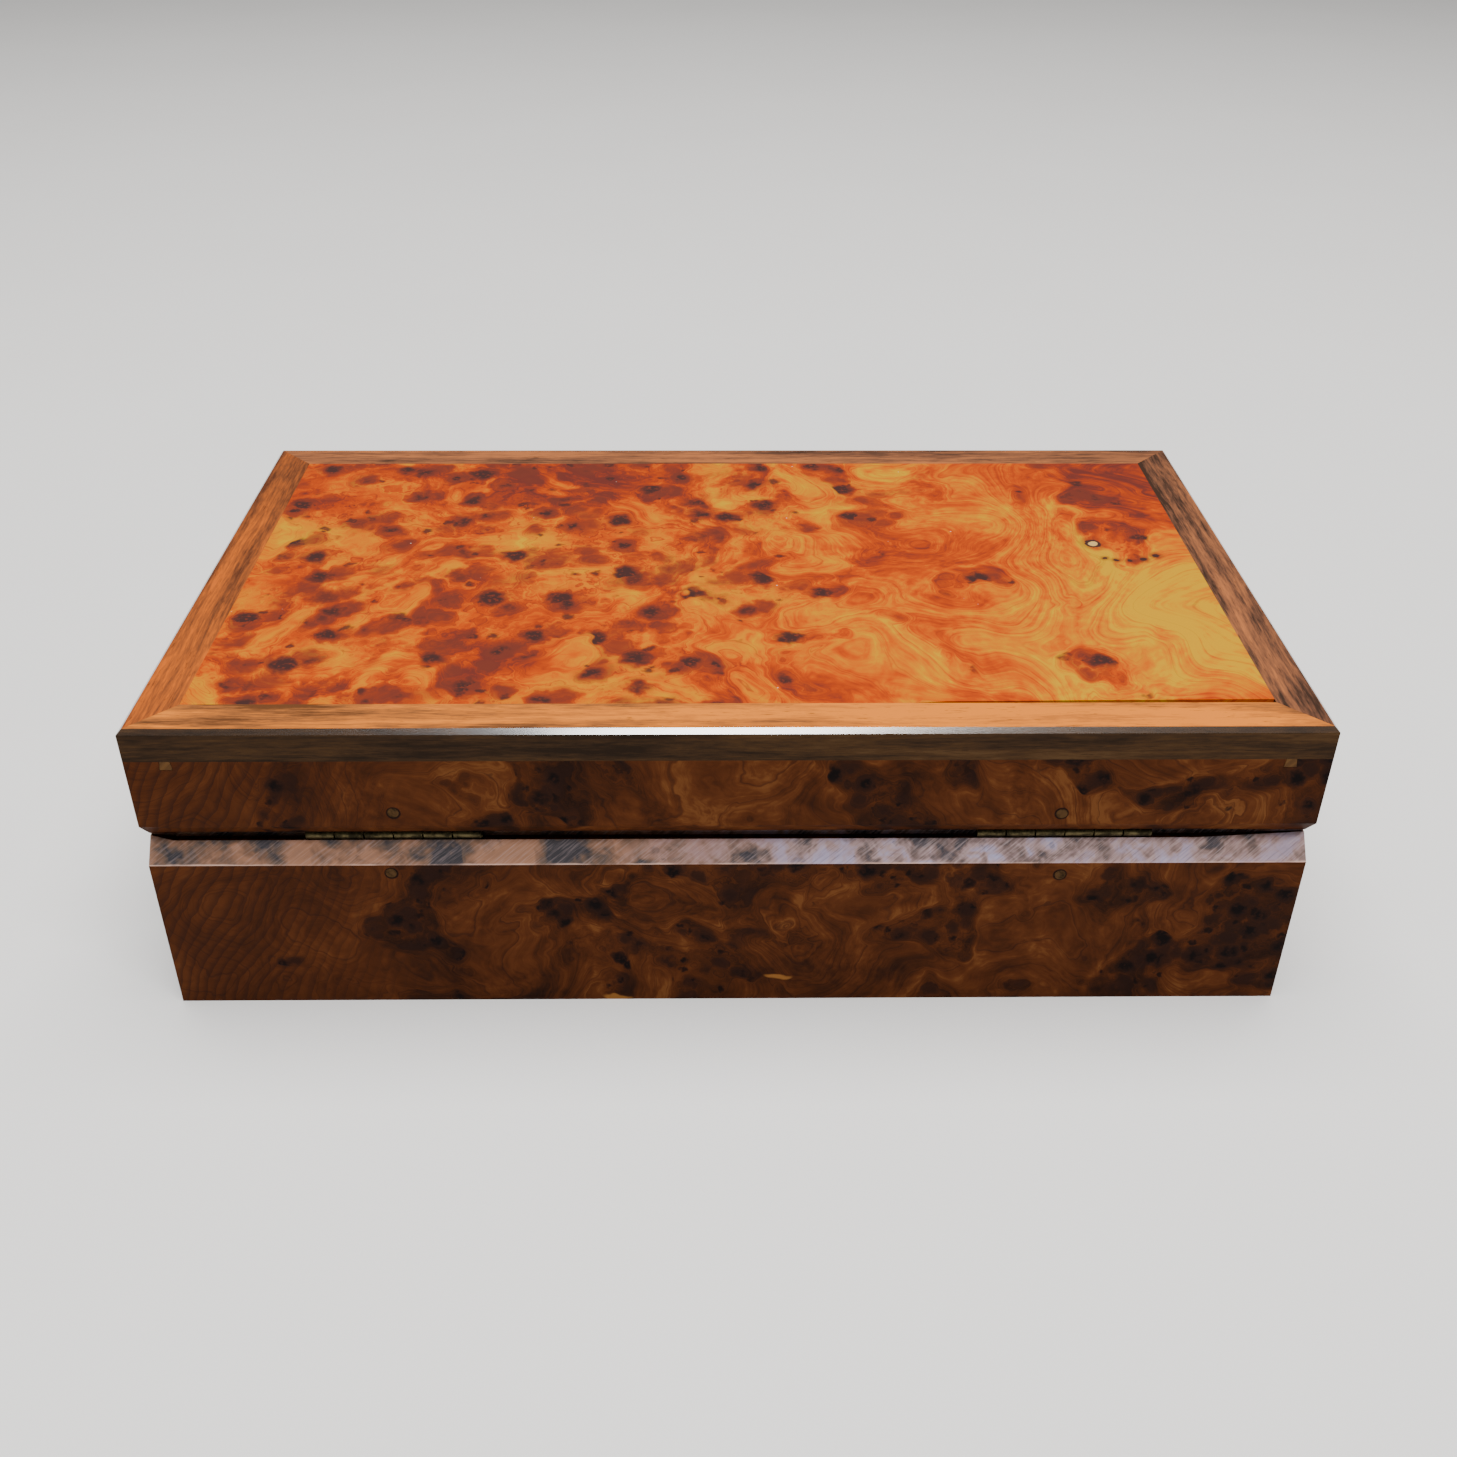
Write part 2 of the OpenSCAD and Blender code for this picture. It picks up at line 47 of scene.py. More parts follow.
# The rear bevels run from the hinge axis out to the rear face, and bevel_h up or down it, as in the CAD
hinge = next(joint for joint in frame["joints"] if joint["name"] == "lid_hinge")
parting_z = hinge["pos_m"][2] / MM
bevel_d = (high.y - hinge["pos_m"][1]) / MM
bevel_h = 4.2


def bevel_normal(sign):
    """Outward normal of the base's rear bevel for sign -1, of the lid's for 1."""
    return Vector((0, bevel_h, -sign * bevel_d)).normalized()


class Graph:
    """Short names for building one material out of nodes. Lengths are in millimetres."""

    def __init__(self, name):
        self.mat = bpy.data.materials.new(name)
        self.mat.use_nodes = True
        self.tree = self.mat.node_tree
        self.tree.nodes.clear()
        self.out = self.tree.nodes.new("ShaderNodeOutputMaterial")
        self.shader = self.tree.nodes.new("ShaderNodeBsdfPrincipled")
        self.tree.links.new(self.shader.outputs[0], self.out.inputs["Surface"])
        coords = self.tree.nodes.new("ShaderNodeTexCoord")
        self.p = self.scale(coords.outputs["Object"], 1 / MM)
        self.normal = coords.outputs["Normal"]

    def put(self, socket, value):
        if isinstance(value, bpy.types.NodeSocket):
            self.tree.links.new(value, socket)
        elif isinstance(value, (int, float)):
            socket.default_value = value
        else:
            value = tuple(value)
            if len(value) == 3 and len(socket.default_value) == 4:
                value += (1,)
            socket.default_value = value

    def set(self, **values):
        for name, value in values.items():
            self.put(self.shader.inputs[name.replace("_", " ").title().replace("Ior", "IOR")], value)

    def fill(self, node, **values):
        """Put each value on the input socket of that name."""
        for name, value in values.items():
            self.put(node.inputs[name], value)

    def math(self, op, a, b=0.0):
        n = self.tree.nodes.new("ShaderNodeMath")
        n.operation = op
        self.put(n.inputs[0], a)
        self.put(n.inputs[1], b)
        return n.outputs[0]

    def add(self, a, b):
        return self.math("ADD", a, b)

    def sub(self, a, b):
        return self.math("SUBTRACT", a, b)

    def mul(self, a, b):
        return self.math("MULTIPLY", a, b)

    def div(self, a, b):
        return self.math("DIVIDE", a, b)

    def high(self, a, b):
        return self.math("MAXIMUM", a, b)

    def vec(self, op, a, b=(0, 0, 0)):
        n = self.tree.nodes.new("ShaderNodeVectorMath")
        n.operation = op
        self.put(n.inputs[0], a)
        self.put(n.inputs[1], b)
        return n.outputs["Value"] if op in ("DOT_PRODUCT", "LENGTH", "DISTANCE") else n.outputs[0]

    def scale(self, a, k):
        n = self.tree.nodes.new("ShaderNodeVectorMath")
        n.operation = "SCALE"
        self.put(n.inputs[0], a)
        self.put(n.inputs["Scale"], k)
        return n.outputs[0]

    def split(self, a):
        n = self.tree.nodes.new("ShaderNodeSeparateXYZ")
        self.put(n.inputs[0], a)
        return n.outputs

    def join(self, x, y, z=0.0):
        n = self.tree.nodes.new("ShaderNodeCombineXYZ")
        for socket, value in zip(n.inputs, (x, y, z)):
            self.put(socket, value)
        return n.outputs[0]

    def noise(self, p, size, detail=2.0, rough=0.5):
        """(value, colour) of a noise whose features are about size across."""
        n = self.tree.nodes.new("ShaderNodeTexNoise")
        self.fill(n, Vector=p, Scale=1 / size, Detail=detail, Roughness=rough)
        return n.outputs[0], n.outputs[1]

    def lines(self, w, size, detail=3.0, rough=0.6):
        """Noise along one coordinate, so that it draws the contour lines of w."""
        n = self.tree.nodes.new("ShaderNodeTexNoise")
        n.noise_dimensions = "1D"
        self.fill(n, W=w, Scale=1 / size, Detail=detail, Roughness=rough)
        return n.outputs[0]

    def cells(self, p, size):
        """(distance to the nearest cell point in units of size, random colour of that cell)"""
        n = self.tree.nodes.new("ShaderNodeTexVoronoi")
        self.fill(n, Vector=p, Scale=1 / size)
        return n.outputs["Distance"], n.outputs["Color"]

    def smooth(self, x, a, b, to_a=0.0, to_b=1.0):
        n = self.tree.nodes.new("ShaderNodeMapRange")
        n.interpolation_type = "SMOOTHSTEP"
        for socket, value in zip(n.inputs, (x, a, b, to_a, to_b)):
            self.put(socket, value)
        return n.outputs[0]

    def ramp(self, x, stops):
        n = self.tree.nodes.new("ShaderNodeValToRGB")
        self.put(n.inputs[0], x)
        ramp = n.color_ramp
        while len(ramp.elements) < len(stops):
            ramp.elements.new(0.5)
        for element, (at, colour) in zip(ramp.elements, stops):
            element.position = at
            element.color = (*colour, 1)
        return n.outputs[0]

    def mix(self, t, a, b):
        n = self.tree.nodes.new("ShaderNodeMix")
        n.data_type = "RGBA"
        self.put(n.inputs[0], t)
        self.put(n.inputs[6], a)
        self.put(n.inputs[7], b)
        return n.outputs[2]

    def bump(self, height, depth, strength=1.0, under=None):
        n = self.tree.nodes.new("ShaderNodeBump")
        self.fill(n, Height=height, Strength=strength, Distance=depth * MM)
        if under is not None:
            self.put(n.inputs["Normal"], under)
        return n.outputs[0]

    def jitter(self, p, size, amount, detail=2.0):
        """Random offset of up to about half of amount, which changes over distances of about size."""
        centred = self.vec("SUBTRACT", self.noise(p, size, detail)[1], (0.5, 0.5, 0.5))
        return self.scale(centred, amount)

    def blob(self, p, centre, radii):
        """1 at the centre of a soft ellipse seen from above, 0 outside it. centre and radii are (x, y)."""
        offset = self.vec("SUBTRACT", p, (*centre, 0))
        offset = self.vec("MULTIPLY", offset, (1 / radii[0], 1 / radii[1], 0))
        return self.smooth(self.vec("LENGTH", offset), 1.0, 0.0)


# ------------------------------------------------------------------ wood

# A burl's palette: its figure from the darkest wood to the lightest, then its knots and their halos
PANEL_BURL = (
    [
        (0.00, (0.120, 0.024, 0.018)),
        (0.15, (0.200, 0.029, 0.014)),
        (0.32, (0.330, 0.037, 0.006)),
        (0.48, (0.450, 0.052, 0.001)),
        (0.62, (0.520, 0.088, 0.001)),
        (0.76, (0.540, 0.145, 0.001)),
        (0.90, (0.535, 0.205, 0.001)),
        (1.00, (0.530, 0.270, 0.001)),
    ],
    (0.048, 0.020, 0.018),
    (0.140, 0.029, 0.017),
)
# The walls' burl, far darker than the panel's: partly darker wood, partly painted shade of the upright faces
SHADED_WALL_BURL = (
    [
        (0.00, (0.014, 0.006, 0.004)),
        (0.20, (0.025, 0.009, 0.0045)),
        (0.40, (0.042, 0.013, 0.005)),
        (0.60, (0.062, 0.018, 0.006)),
        (0.80, (0.087, 0.026, 0.008)),
        (1.00, (0.130, 0.046, 0.014)),
    ],
    (0.006, 0.004, 0.004),
    (0.020, 0.0085, 0.006),
)
# Where the second haze of a knot lies, in radii of its core
HAZE_DRIFT = (1.2, 0.5, -0.9)


def burl(g, palette, seed, knot, crowding, light=0.0, density=0.0, calm=0.0,
         contrast=1.0, ceiling=1.0):
    """Burl figure: swirling contour lines, flames along them, and clusters of dark knots with soft halos.

    knot is (spacing, radius). crowding is (cluster size, where knots begin, where they are everywhere).
    light and density are offsets, as numbers or sockets: lighter wood, more knots.
    calm goes from 0 for a churned figure to 1 for long sweeping flames. contrast scales the figure, and
    wood lighter than ceiling is held back.
    Returns (colour, height for a bump, how dark the knots make a point).
    """
    figure, eye, halo = palette
    spacing, radius = knot
    cluster_size, *crowd_range = crowding
    p = g.vec("ADD", g.p, seed)
    small = g.jitter(p, 9, g.sub(6.5, g.mul(calm, 4.5)))
    swept = g.vec("ADD", p, g.jitter(p, 46, 40, 1.0))
    q = g.vec("ADD", swept, small)

    def crowd_at(point):
        return g.smooth(g.add(g.noise(point, cluster_size, 1.5)[0], density), *crowd_range)

    # The wood is darker on one side of each cluster and paler on the other
    crowd = crowd_at(q)
    slope = g.sub(crowd_at(g.vec("ADD", q, (-0.16 * cluster_size, 0, -0.10 * cluster_size))), crowd)

    ragged = g.vec("ADD", g.vec("ADD", p, g.scale(small, 0.35)), g.jitter(p, 0.9 * radius, 1.3 * radius, 3.0))

    def knots(size, core_radius, shift, share):
        """(core, haze round it) of one layer of knots, which fill share of the places in a full crowd."""
        moved = g.vec("ADD", ragged, shift)
        distance, random = g.cells(moved, size)
        chance, spread, _ = g.split(random)
        present = g.smooth(g.sub(g.mul(crowd, share), chance), 0.0, 0.15)
        r = core_radius / size
        reach = g.mul(g.add(g.mul(spread, 0.75), 0.45), r)
        core = g.mul(g.smooth(g.div(distance, reach), 1.1, 0.45), present)
        trail = g.vec("ADD", moved, [k * core_radius for k in HAZE_DRIFT])
        haze = g.high(g.smooth(distance, 2.0 * r, 0.3 * r),
                      g.smooth(g.cells(trail, size)[0], 1.9 * r, 0.4 * r, 0, 0.8))
        return core, g.mul(haze, crowd)

    core, around = knots(spacing, radius, (0, 0, 0), 1.0)
    pins, pin_haze = knots(spacing * 0.5, radius * 0.5, (31, 17, 5), 0.5)
    core, around = g.high(core, g.mul(pins, 0.85)), g.high(around, g.mul(pin_haze, 0.35))

    flow, flow_colour = g.noise(swept, 48, 1.5)
    along = g.split(flow_colour)[1]
    h = g.add(g.add(g.mul(flow, 60), g.mul(crowd, 3.0)), g.mul(around, 4.2))
    h = g.add(h, g.mul(g.noise(q, 7, 2.0)[0], g.sub(2.6, g.mul(calm, 1.8))))
    rings = g.lines(h, 0.60, 3.0, 0.7)
    streaks = g.noise(g.join(g.mul(h, 0.34), g.mul(along, 9), 0), 1.0, 3.0, 0.6)[0]
    fibre = g.noise(g.join(g.mul(h, 2.6), g.mul(along, 44), 3), 1.0, 3.0, 0.65)[0]
    flame = g.noise(q, 17, 4.0, 0.6)[0]
    sweep = g.noise(g.join(g.mul(h, 0.16), g.mul(along, 4), 7), 1.0, 4.0, 0.55)[0]
    flame = g.add(g.mul(flame, g.sub(1.0, g.mul(calm, 0.6))), g.mul(sweep, g.mul(calm, 0.6)))
    mottle = g.noise(q, 2.8, 2.0, 0.6)[0]

    v = g.sub(g.mul(slope, 0.18), g.add(g.mul(crowd, 0.10), g.mul(around, 0.38)))
    for part, amount in ((flame, 1.45), (streaks, 1.10), (rings, 0.40), (fibre, 0.62), (mottle, 0.48)):
        v = g.add(v, g.mul(g.sub(part, 0.5), amount))
    v = g.add(g.add(0.55, light), g.mul(v, contrast))
    v = g.sub(v, g.mul(g.high(g.sub(v, ceiling), 0.0), 0.45))
    colour = g.ramp(v, figure)
    colour = g.mix(g.mul(g.smooth(around, 0.10, 0.85), 0.75), colour, halo)
    colour = g.mix(g.mul(g.smooth(rings, 0.39, 0.31), g.sub(0.40, g.mul(calm, 0.20))), colour, halo)
    inside = g.noise(p, 0.8, 2.0)[0]
    colour = g.mix(core, colour, g.mix(g.smooth(inside, 0.52, 0.72), eye, halo))
    height = g.add(g.mul(rings, 0.4), g.mul(fibre, 0.6))
    return colour, height, core


# Broad tones of the lid top. Centre and radii are fractions of the panel's half sizes: the first number
# runs to the right-hand end, the second to the rear. The last is how much lighter the wood is there.
PANEL_TONES = {
    "gold end": ((-0.9, 0.4), (0.5, 0.9), 0.36),
    "gold drift": ((-0.3, -0.7), (0.5, 0.5), 0.16),
    "red corner": ((-1.0, -0.9), (0.5, 0.9), -0.62),
    "red flame": ((-0.4, 0.0), (0.4, 0.4), -0.30),
    "brown front edge": ((0.5, -0.8), (0.8, 0.5), -0.34),
    "plum spot": ((0.5, 0.7), (0.2, 0.3), -0.36),
}
RINGED_KNOT_AT = (-0.8, -0.2)
RINGED_KNOT_R = 1.8
KNOT_HEART = (0.56, 0.36, 0.12)
ARC_PINS = 5
DUST = (0.8, 0.7, 0.6)


def panel_material():
    """High-gloss burl of the lid top: knots towards the right-hand end, long bright swirls at the other."""
    g = Graph("burl_panel")
    x = g.split(g.p)[0]
    middle, half = (panel_low + panel_high) / 2, (panel_high - panel_low) / 2

    def on_panel(at):
        return middle.x + at[0] * half.x, middle.y + at[1] * half.y

    swirls = g.smooth(x, 0.15 * half.x, -0.45 * half.x)
    wandering = g.vec("ADD", g.p, g.jitter(g.p, 15, 17, 3.0))
    light = g.sub(0.20, g.mul(swirls, 0.08))
    for centre, radii, amount in PANEL_TONES.values():
        size = (radii[0] * half.x, radii[1] * half.y)
        light = g.add(light, g.mul(g.blob(wandering, on_panel(centre), size), amount))
    density = g.sub(0.075, g.mul(swirls, 0.24))
    contrast = g.sub(1.05, g.mul(swirls, 0.05))
    ceiling = g.add(0.70, g.mul(swirls, 0.26))
    colour, height, core = burl(g, PANEL_BURL, seed=(140, 35, 0), knot=(8.0, 2.7), crowding=(16, 0.38, 0.56),
                                light=light, density=density, calm=swirls, contrast=contrast, ceiling=ceiling)

    # A lone ringed knot with a pale heart, and small pins scattered on an arc beside it
    near = g.vec("MULTIPLY", g.vec("ADD", g.p, g.jitter(g.p, 1.6, 1.1)), (1, 1, 0))
    knot_x, knot_y = on_panel(RINGED_KNOT_AT)
    ring = g.vec("DISTANCE", near, (knot_x, knot_y, 0))
    colour = g.mix(g.mul(g.smooth(ring, RINGED_KNOT_R * 2.0, RINGED_KNOT_R), 0.4), colour, PANEL_BURL[2])
    colour = g.mix(g.smooth(ring, RINGED_KNOT_R, RINGED_KNOT_R * 0.85), colour, PANEL_BURL[1])
    colour = g.mix(g.smooth(ring, RINGED_KNOT_R * 0.62, RINGED_KNOT_R * 0.45), colour, KNOT_HEART)
    for i in range(ARC_PINS):
        angle, away, pin_r = math.radians(25 + 14 * i), 12.5 - 1.5 * i, 0.9 - 0.08 * i
        at = (knot_x - away * math.cos(angle), knot_y + away * math.sin(angle), 0)
        pin = g.vec("DISTANCE", near, at)
        colour = g.mix(g.mul(g.smooth(pin, pin_r * 2.4, pin_r * 0.6), 0.7), colour, PANEL_BURL[2])
        colour = g.mix(g.smooth(pin, pin_r, pin_r * 0.6), colour, PANEL_BURL[1])

    specks = g.smooth(g.cells(g.p, 7.0)[0], 0.030, 0.012)
    colour = g.mix(g.mul(specks, 0.6), colour, DUST)
    g.set(base_color=colour, roughness=0.5, coat_weight=0.65, coat_roughness=0.08, specular_ior_level=0.0)
    pits = g.bump(core, 0.06, 0.6)
    g.put(g.shader.inputs["Normal"], g.bump(height, 0.012, 0.5, pits))
    g.put(g.shader.inputs["Coat Normal"], g.bump(g.noise(g.p, 14, 2.0)[0], 0.03, 0.5))
    return g.mat


NAIL_R = 1.0
GROWTH_LINE = 2.1  # spacing of the wavy growth lines
SAPWOOD = (0.22, 0.09, 0.022)

# Bare sawn wood of the bevel, from its stains to its lightest patches. The pale end of the pink range is
# partly painted sheen, its bluish top a painted reflection
SAWN_BROWN = [(0.40, (0.035, 0.035, 0.040)), (0.45, (0.100, 0.068, 0.052)),
              (0.50, (0.170, 0.092, 0.058)), (0.58, (0.300, 0.150, 0.090))]
# Greyish pink of the sawn wood, partly painted sheen, with a bluish painted reflection at its top
SAWN_PINK_AND_SHEEN = [(0.41, (0.045, 0.045, 0.055)), (0.46, (0.160, 0.110, 0.100)),
             (0.52, (0.350, 0.240, 0.240)), (0.61, (0.370, 0.350, 0.520))]
SAWN_KNOT = (0.030, 0.034, 0.038)
PALE_STROKE = (0.50, 0.38, 0.38)
DARK_STROKE = (0.14, 0.100, 0.100)
PAINTED_EDGE_HIGHLIGHT = (0.75, 0.48, 0.38)


def paint_nail_gap_shade(g, colour, y, node):
    """Painted shade of the gap round both nail heads of a node. The nail at the right-hand end is the higher
    one.
    """
    lowest, highest = [Vector(corner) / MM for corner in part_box(node)]
    inset = Vector((NAIL_R, 0, NAIL_R))
    flat = g.vec("MULTIPLY", g.p, (1, 0, 1))
    on_rear = g.smooth(y, 50, 55)
    for nail in (lowest + inset, highest - inset):
        away = g.vec("DISTANCE", flat, (nail.x, 0, nail.z))
        ring = g.smooth(away, NAIL_R * 1.35, NAIL_R * 1.10)
        colour = g.mix(g.mul(g.mul(ring, on_rear), 0.85), colour, SHADED_WALL_BURL[1])
    return colour


def wall_material(sign):
    """Burl of the walls, darker and less glossy, with bare cross-cut wood on the rear bevel. The darker burl
    is partly darker wood and partly painted shade of the upright faces.

    sign is -1 for the base, whose bevel faces up, and 1 for the lid.
    """
    g = Graph("burl_wall_base" if sign < 0 else "burl_wall_lid")
    x, y, z = g.split(g.p)
    plain = g.smooth(x, 0.40 * high.x / MM, 0.92 * high.x / MM)
    light = g.sub(0.08, g.mul(plain, 0.02))
    density = g.sub(0.03, g.mul(plain, 0.15))
    contrast = g.sub(1.0, g.mul(plain, 0.5))
    colour, height, core = burl(g, SHADED_WALL_BURL, seed=(0, 0, 60 * sign), knot=(4.6, 1.7),
                                crowding=(15, 0.50, 0.62), light=light, density=density, contrast=contrast)

    # Wavy growth lines towards one end: dark on one side, fading on the other
    broad, fine = g.noise(g.p, 22, 1.0)[0], g.noise(g.p, 4, 1.0)[0]
    bend = g.add(g.mul(broad, 9), g.mul(fine, 1.5))
    wave = g.add(g.add(x, g.mul(z, 0.5)), bend)
    ring = g.smooth(g.math("FRACT", g.div(wave, GROWTH_LINE)), 0.0, 0.7, 1.0, 0.0)
    colour = g.mix(g.mul(g.mul(ring, plain), 0.55), colour, SHADED_WALL_BURL[2])

    # Pale flecks of sapwood and filler
    fleck_p = g.vec("MULTIPLY", g.vec("ADD", g.p, g.scale(g.noise(g.p, 5, 2.0)[1], 3.0)), (0.45, 1, 1.6))
    fleck = g.smooth(g.cells(fleck_p, 26)[0], 0.055, 0.035)
    colour = g.mix(g.mul(fleck, g.smooth(x, 60, 20)), colour, SAPWOOD)

    # Painted shade round the nail heads on the rear face
    colour = paint_nail_gap_shade(g, colour, y, "base_hinge_nails" if sign < 0 else "lid_hinge_nails")

    # Sawn bevel: brown to the right, greyish pink (partly painted sheen) with bluish painted sheen patches to
    # the left, and a painted highlight along its lower edge
    on_bevel = g.smooth(g.vec("DOT_PRODUCT", g.normal, bevel_normal(sign)), 0.93, 0.985)
    diagonal = g.join(g.add(x, g.mul(z, 1.7)), g.mul(g.sub(x, g.mul(z, 1.7)), 0.05), 0)
    scratch = g.noise(diagonal, 0.55, 3.0, 0.7)[0]
    patch = g.noise(g.vec("ADD", g.p, g.jitter(g.p, 4, 4)), 11, 4.0, 0.65)[0]
    brown, pink = g.ramp(patch, SAWN_BROWN), g.ramp(patch, SAWN_PINK_AND_SHEEN)
    wander = g.add(x, g.mul(g.noise(g.p, 12, 2.0)[0], 40))
    tint = g.mix(g.mul(g.smooth(wander, 50, -20), g.smooth(wander, -70, -30, 0.6, 1.0)), brown, pink)
    tint = g.mix(g.mul(core, 0.5), tint, SAWN_KNOT)
    strokes = g.smooth(wander, 50, -20, 0.26, 0.60)
    tint = g.mix(g.mul(g.smooth(scratch, 0.42, 0.75), strokes), tint, PALE_STROKE)
    tint = g.mix(g.mul(g.smooth(scratch, 0.50, 0.30), strokes), tint, DARK_STROKE)
    away = g.mul(g.sub(z, parting_z), sign)
    # Painted highlight along the bevel's lower edge, broken into patches
    rubbed = g.smooth(g.add(away, g.mul(g.noise(g.p, 3, 3.0)[0], 0.35)), bevel_h - 0.08, bevel_h + 0.15)
    highlight_patches = g.smooth(g.noise(g.p, 7, 2.0)[0], 0.42, 0.60, 0.12, 0.60)
    tint = g.mix(g.mul(rubbed, highlight_patches), tint, PAINTED_EDGE_HIGHLIGHT)
    if sign < 0:
        colour = g.mix(on_bevel, colour, tint)
    rough = g.smooth(g.noise(g.p, 12, 3.0)[0], 0.3, 0.7, 0.38, 0.50)
    g.set(base_color=colour, roughness=g.add(rough, g.mul(on_bevel, 0.12)), specular_ior_level=0.02)
    grooves = g.mul(scratch, on_bevel)
    pits = g.bump(core, 0.05, 0.5)
    grain = g.bump(height, 0.015, 0.5, pits)
    g.put(g.shader.inputs["Normal"], g.bump(grooves, 0.05, 0.7, grain))
    return g.mat


def straight_grain(g, along, across, seed, figure, light=0.0):
    """Straight walnut grain. along and across are coordinates. Returns (colour, pores)."""
    warp = g.noise(g.join(g.mul(along, 0.2), across, seed), 9, 2.0)[0]
    bent = g.add(across, g.mul(warp, 3.0))
    broad = g.noise(g.join(g.mul(along, 0.06), bent, seed), 3.2, 3.0, 0.6)[0]
    fine = g.noise(g.join(g.mul(along, 0.10), bent, seed + 7), 0.45, 3.0, 0.7)[0]
    blotch = g.noise(g.join(g.mul(along, 0.35), across, seed + 17), 8, 3.0, 0.6)[0]
    pore_p = g.join(g.mul(along, 0.28), g.mul(bent, 2.4), seed + 13)
    pores = g.smooth(g.noise(pore_p, 0.8, 2.0, 0.6)[0], 0.63, 0.72)
    v = g.add(0.5, light)
    for part, amount in ((broad, 2.0), (fine, 1.2), (blotch, 1.0)):
        v = g.add(v, g.mul(g.sub(part, 0.5), amount))
    return g.mix(g.mul(pores, 0.6), g.ramp(v, figure), figure[0][1]), pores


WALNUT_TAN = [(0.10, (0.11, 0.043, 0.017)), (0.32, (0.24, 0.085, 0.027)),
              (0.55, (0.44, 0.13, 0.022)), (0.90, (0.69, 0.20, 0.020))]
WALNUT_WARM = [(0.10, (0.08, 0.027, 0.014)), (0.35, (0.155, 0.05, 0.020)),
               (0.60, (0.29, 0.074, 0.018)), (0.90, (0.50, 0.11, 0.012))]
WALNUT_GREY = [(0.10, (0.04, 0.022, 0.015)), (0.32, (0.10, 0.046, 0.028)),
               (0.58, (0.215, 0.082, 0.038)), (0.90, (0.37, 0.125, 0.043))]
# The strips' outer faces: painted shade, as the upright faces get less light than the tops
SHADED_WALNUT_FACE = [(0.10, (0.017, 0.009, 0.0045)), (0.40, (0.034, 0.017, 0.0075)),
               (0.65, (0.052, 0.025, 0.0095)), (0.95, (0.074, 0.038, 0.015))]


def strip_material(name, side, top_figure, seed, base_light, drift=0.0, fade=0.0):
    """Walnut edging: its own colour range on top and a much darker one on the outer face, which is painted
    shade.

    base_light is how much lighter the top is than its range, drift how much it gains towards the left, and
    fade how much it loses towards the front.
    """
    g = Graph(name)
    x, y, z = g.split(g.p)
    along, across = (x, y) if side in ("rear", "front") else (y, x)
    light = g.smooth(x, high.x / MM, low.x / MM, base_light - 0.5 * drift, base_light + 0.5 * drift)
    corner = g.blob(g.vec("ADD", g.p, g.jitter(g.p, 7, 5)), (0.97 * low.x / MM, 0.86 * high.y / MM), (11, 10))
    light = g.sub(light, g.mul(corner, 0.3))
    light = g.sub(light, g.smooth(y, 0.6 * high.y / MM, low.y / MM, 0, fade))
    top, pores = straight_grain(g, along, g.add(across, g.mul(z, 0.8)), seed, top_figure, light)
    face, _ = straight_grain(g, along, z, seed + 3, SHADED_WALNUT_FACE, g.sub(light, base_light))
    tilt = g.split(g.normal)[2]
    arris = g.mul(g.smooth(tilt, 0.25, 0.60), g.smooth(tilt, 0.98, 0.80))
    # Faces that stand upright take the darker range: painted shade
    g.set(base_color=g.mix(g.smooth(tilt, 0.80, 0.95), face, top), roughness=0.5, specular_ior_level=0.02,
          coat_weight=g.add(g.mul(arris, 0.96), 0.03), coat_ior=1.8, coat_roughness=0.10)
    g.put(g.shader.inputs["Normal"], g.bump(g.sub(1.0, pores), 0.03, 0.5))
    return g.mat


def plain_material(name, figure, grain_axis=0):
    """Plain sanded wood with straight grain along one axis."""
    g = Graph(name)
    axes = g.split(g.p)
    across = g.add(axes[1 - grain_axis], g.mul(axes[2], 0.9))
    colour, pores = straight_grain(g, axes[grain_axis], across, 5, figure)
    g.set(base_color=colour, roughness=g.smooth(pores, 0, 1, 0.6, 0.75), specular_ior_level=0.1)
    g.put(g.shader.inputs["Normal"], g.bump(g.sub(1.0, pores), 0.03, 0.5))
    return g.mat


def metal_material(name, bright, dull, rough):
    """Worn metal: stained patches, fine scratches and parts rubbed brighter."""
    g = Graph(name)
    stain = g.noise(g.p, 1.6, 4.0, 0.65)[0]
    scratch = g.noise(g.vec("MULTIPLY", g.p, (1, 6, 0.4)), 0.5, 3.0, 0.7)[0]
    colour = g.mix(g.smooth(stain, 0.35, 0.62), dull, bright)
    colour = g.mix(g.smooth(scratch, 0.55, 0.75, 0.0, 0.35), colour, bright)
    g.set(base_color=colour, metallic=1.0, roughness=g.smooth(stain, 0.3, 0.7, rough + 0.16, rough))
    g.put(g.shader.inputs["Normal"], g.bump(g.add(scratch, stain), 0.02, 0.6))
    return g.mat


# ------------------------------------------------------------------ finishes

PALE_WOOD = [(0.2, (0.055, 0.023, 0.007)), (0.8, (0.110, 0.050, 0.013))]
BOARD_WOOD = [(0.15, (0.20, 0.085, 0.030)), (0.50, (0.32, 0.150, 0.060)), (0.85, (0.44, 0.230, 0.100))]
base_wall, lid_wall = wall_material(-1), wall_material(1)
hinge_brass = metal_material("hinge_brass", (0.085, 0.068, 0.032), (0.018, 0.015, 0.008), 0.34)
nail_brass = metal_material("nail_brass", (0.065, 0.034, 0.014), (0.020, 0.012, 0.006), 0.46)
lock_brass = metal_material("lock_brass", (0.72, 0.53, 0.24), (0.42, 0.30, 0.14), 0.28)
steel = metal_material("steel", (0.50, 0.50, 0.51), (0.22, 0.21, 0.20), 0.30)
pale = plain_material("pale_wood", PALE_WOOD, 1)
board = plain_material("plain_wood", BOARD_WOOD)

